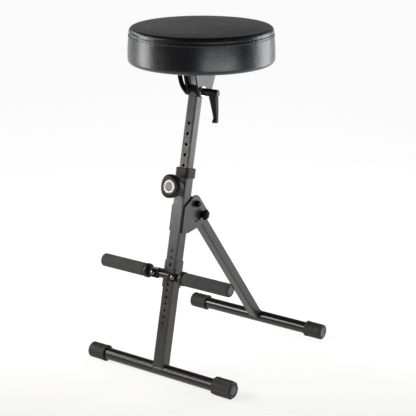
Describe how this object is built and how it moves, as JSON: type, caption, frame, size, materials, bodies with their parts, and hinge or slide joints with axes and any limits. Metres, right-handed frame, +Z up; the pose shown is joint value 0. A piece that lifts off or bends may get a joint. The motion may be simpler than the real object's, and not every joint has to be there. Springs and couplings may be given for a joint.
{
  "type": "folding musician stool",
  "caption": "Folding stool with a round padded seat on a leaning square column: adjustable seat height and tilt, swing-out rear leg and a sliding footrest with fold-up arms.",
  "frame": {"origin": "on the floor, at the middle of the base's outline", "axes": "+Z up, +X along the foot bars towards the tilt lever, +Y from the front bar to the rear bar"},
  "size_m": [0.425, 0.4618, 0.8295],
  "materials": {
    "powder_coat": "satin",
    "gloss_paint": "gloss",
    "blackened_steel": "satin",
    "zinc_steel": "satin",
    "cap_rubber": "matte",
    "black_plastic": "satin",
    "grey_plastic": "satin",
    "light_inlay": "satin",
    "grip_foam": "matte",
    "cushion_cover": "satin",
    "seat_plywood": "matte"
  },
  "bodies": {
    "base": {"front_foot_bar": "gloss_paint", "front_end_cap_left": "cap_rubber", "outer_column": "powder_coat", "column_collar": "black_plastic", "clamp_boss": "powder_coat", "hinge_plate_left": "powder_coat", "hinge_plate_right": "powder_coat", "leg_pivot_bolt": "blackened_steel", "leg_pivot_nut": "blackened_steel", "leg_washer_left": "black_plastic", "leg_washer_right": "black_plastic"},
    "levelling_cap": {"levelling_cap": "cap_rubber", "levelling_cap_disc": "grey_plastic"},
    "clamp_screw": {"clamp_screw": "powder_coat"},
    "height_knob": {"height_knob": "black_plastic", "height_knob_disc": "light_inlay"},
    "rear_leg": {"rear_leg": "powder_coat", "leg_top_plug": "black_plastic", "leg_lock_bolt": "blackened_steel", "leg_lock_nut": "blackened_steel", "rear_foot_bar": "gloss_paint", "rear_end_cap_left": "cap_rubber", "rear_end_cap_right": "cap_rubber"},
    "lock_knob": {"leg_lock_knob": "black_plastic"},
    "footrest": {"footrest_sleeve": "powder_coat", "footrest_crossbar": "gloss_paint", "footrest_screw_lower": "blackened_steel", "footrest_screw_upper": "blackened_steel", "footrest_bolt_left": "blackened_steel", "footrest_bolt_right": "blackened_steel", "footrest_nut_left": "blackened_steel", "footrest_nut_right": "blackened_steel"},
    "footrest_arm_left": {"footrest_arm_left": "powder_coat", "footrest_grip_left": "grip_foam", "footrest_plug_left": "grey_plastic"},
    "footrest_arm_right": {"footrest_arm_right": "powder_coat", "footrest_grip_right": "grip_foam", "footrest_plug_right": "grey_plastic"},
    "seat_post": {"seat_post": "powder_coat", "post_top_plug": "black_plastic", "post_foot_guide": "black_plastic"},
    "seat": {"seat_cushion": "cushion_cover", "seat_board": "seat_plywood", "seat_plate": "powder_coat", "seat_cheek_left": "powder_coat", "seat_cheek_right": "powder_coat", "seat_screw_1": "blackened_steel", "seat_screw_2": "blackened_steel", "seat_screw_3": "blackened_steel", "seat_screw_4": "blackened_steel", "tilt_bolt": "blackened_steel", "friction_washer_left": "black_plastic", "friction_washer_right": "black_plastic", "stay_spacer": "powder_coat", "tilt_stay": "blackened_steel", "lever_washer": "zinc_steel"},
    "tilt_lever": {"tilt_lever": "black_plastic", "lever_button": "grey_plastic"}
  },
  "joints": [
    {"name": "levelling_turn", "type": "hinge", "parent": "base", "child": "levelling_cap", "pos_m": [0.1865, -0.20909, 0.02], "axis": [1, 0, 0], "continuous": true},
    {"name": "clamp_travel", "type": "slide", "parent": "base", "child": "clamp_screw", "axis": [0, -0.9748, 0.2233], "range_m": [0, 0.003]},
    {"name": "height_knob_turn", "type": "hinge", "parent": "clamp_screw", "child": "height_knob", "pos_m": [0, -0.12466, 0.45718], "axis": [0, -0.9748, 0.2233], "range_deg": [0, 720]},
    {"name": "rear_leg_fold", "type": "hinge", "parent": "base", "child": "rear_leg", "pos_m": [0, -0.08775, 0.40872], "axis": [-1, 0, 0], "range_deg": [0, 50]},
    {"name": "lock_knob_turn", "type": "hinge", "parent": "rear_leg", "child": "lock_knob", "pos_m": [0, -0.06277, 0.37621], "axis": [1, 0, 0], "range_deg": [0, 360]},
    {"name": "footrest_height", "type": "slide", "parent": "base", "child": "footrest", "axis": [0, 0.2233, 0.9748], "range_m": [-0.096, 0.016]},
    {"name": "footrest_fold_left", "type": "hinge", "parent": "footrest", "child": "footrest_arm_left", "pos_m": [-0.0295, -0.18483, 0.2545], "axis": [0, 0.9748, -0.2233], "range_deg": [0, 90]},
    {"name": "footrest_fold_right", "type": "hinge", "parent": "footrest", "child": "footrest_arm_right", "pos_m": [0.0295, -0.18483, 0.2545], "axis": [0, -0.9748, 0.2233], "range_deg": [0, 90]},
    {"name": "seat_height", "type": "slide", "parent": "base", "child": "seat_post", "axis": [0, 0.2233, 0.9748], "range_m": [-0.15, 0.1]},
    {"name": "seat_tilt", "type": "hinge", "parent": "seat_post", "child": "seat", "pos_m": [0, -0.05907, 0.67504], "axis": [1, 0, 0], "range_deg": [-10, 25]},
    {"name": "tilt_lever_turn", "type": "hinge", "parent": "seat", "child": "tilt_lever", "pos_m": [0, -0.05907, 0.67504], "axis": [1, 0, 0], "range_deg": [-90, 90]}
  ],
  "couplings": [
    {"joint": "clamp_travel", "follows": "height_knob_turn", "m_per_rad": 0.00023873}
  ]
}
